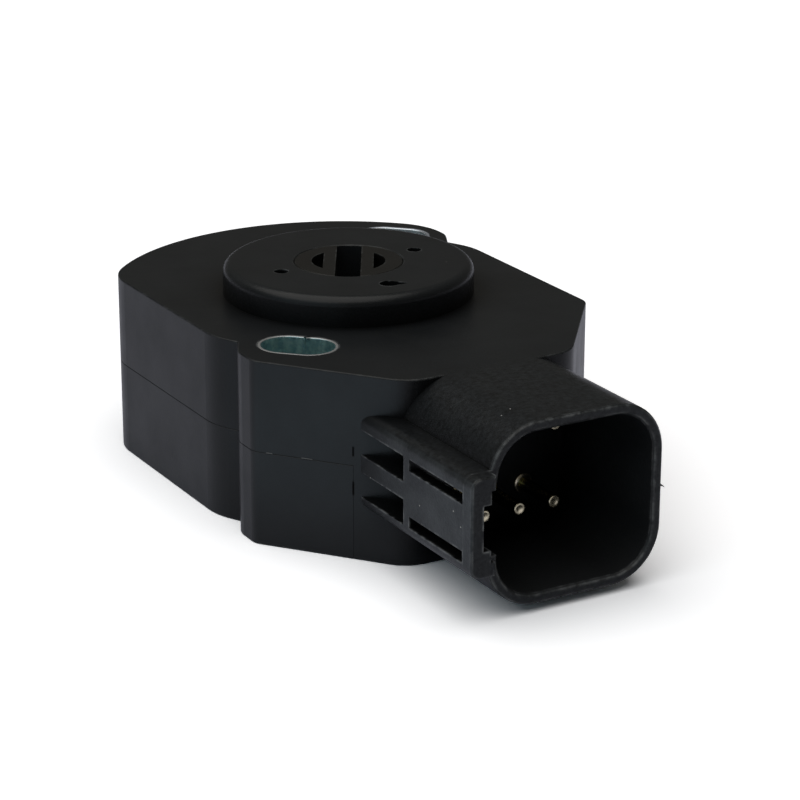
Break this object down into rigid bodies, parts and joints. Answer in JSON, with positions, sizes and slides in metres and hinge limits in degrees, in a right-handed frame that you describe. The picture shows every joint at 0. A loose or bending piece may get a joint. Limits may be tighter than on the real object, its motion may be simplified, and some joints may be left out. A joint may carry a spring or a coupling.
{
  "type": "throttle position sensor",
  "caption": "Rotary throttle position sensor: slotted rotor in a round pilot boss, sleeved mounting slots and a keyed multi-pin socket on a two-part moulded body.",
  "frame": {"origin": "on the rotor axis, in the plane of the back face", "axes": "+Z along the rotor axis towards the pilot boss, -Y towards the socket's mouth"},
  "size_m": [0.0472, 0.0868, 0.0271],
  "materials": {
    "housing_plastic": "moulded glass-filled plastic, fine grain",
    "cover_plastic": "moulded glass-filled plastic, fine grain",
    "rotor_plastic": "smooth moulded plastic",
    "sleeve_zinc": "zinc plated, passivated",
    "seal_rubber": "moulded rubber",
    "washer_plastic": "natural low-friction plastic",
    "spring_steel": "stamped sheet",
    "wiper_alloy": "stamped spring alloy",
    "board_laminate": "glass laminate",
    "resistor_film": "printed carbon film",
    "collector_film": "printed silver film",
    "potting_resin": "cast resin",
    "pin_plating": "plated, turned",
    "lead_brass": "stamped strip"
  },
  "bodies": {
    "case": {"housing": "housing_plastic", "rear_cover": "cover_plastic", "joint_seal": "seal_rubber", "front_sleeve": "sleeve_zinc", "rear_sleeve": "sleeve_zinc", "thrust_washer": "washer_plastic", "preload_spring": "spring_steel", "element_board": "board_laminate", "resistor_tracks": "resistor_film", "collector_tracks": "collector_film", "pin_potting": "potting_resin", "pin_lower_left": "pin_plating", "pin_lower_middle": "pin_plating", "pin_lower_right": "pin_plating", "pin_upper_left": "pin_plating", "pin_upper_middle": "pin_plating", "pin_upper_right": "pin_plating", "lead_lower_left": "lead_brass", "lead_lower_middle": "lead_brass", "lead_lower_right": "lead_brass", "lead_upper_left": "lead_brass", "lead_upper_middle": "lead_brass", "lead_upper_right": "lead_brass"},
    "rotor": {"rotor": "rotor_plastic", "rotor_seal": "seal_rubber", "wiper_a": "wiper_alloy", "wiper_b": "wiper_alloy"}
  },
  "joints": [
    {"name": "rotor_turn", "type": "hinge", "parent": "case", "child": "rotor", "pos_m": [0, 0, 0.02715], "axis": [0, 0, 1], "range_deg": [0, 80]}
  ]
}
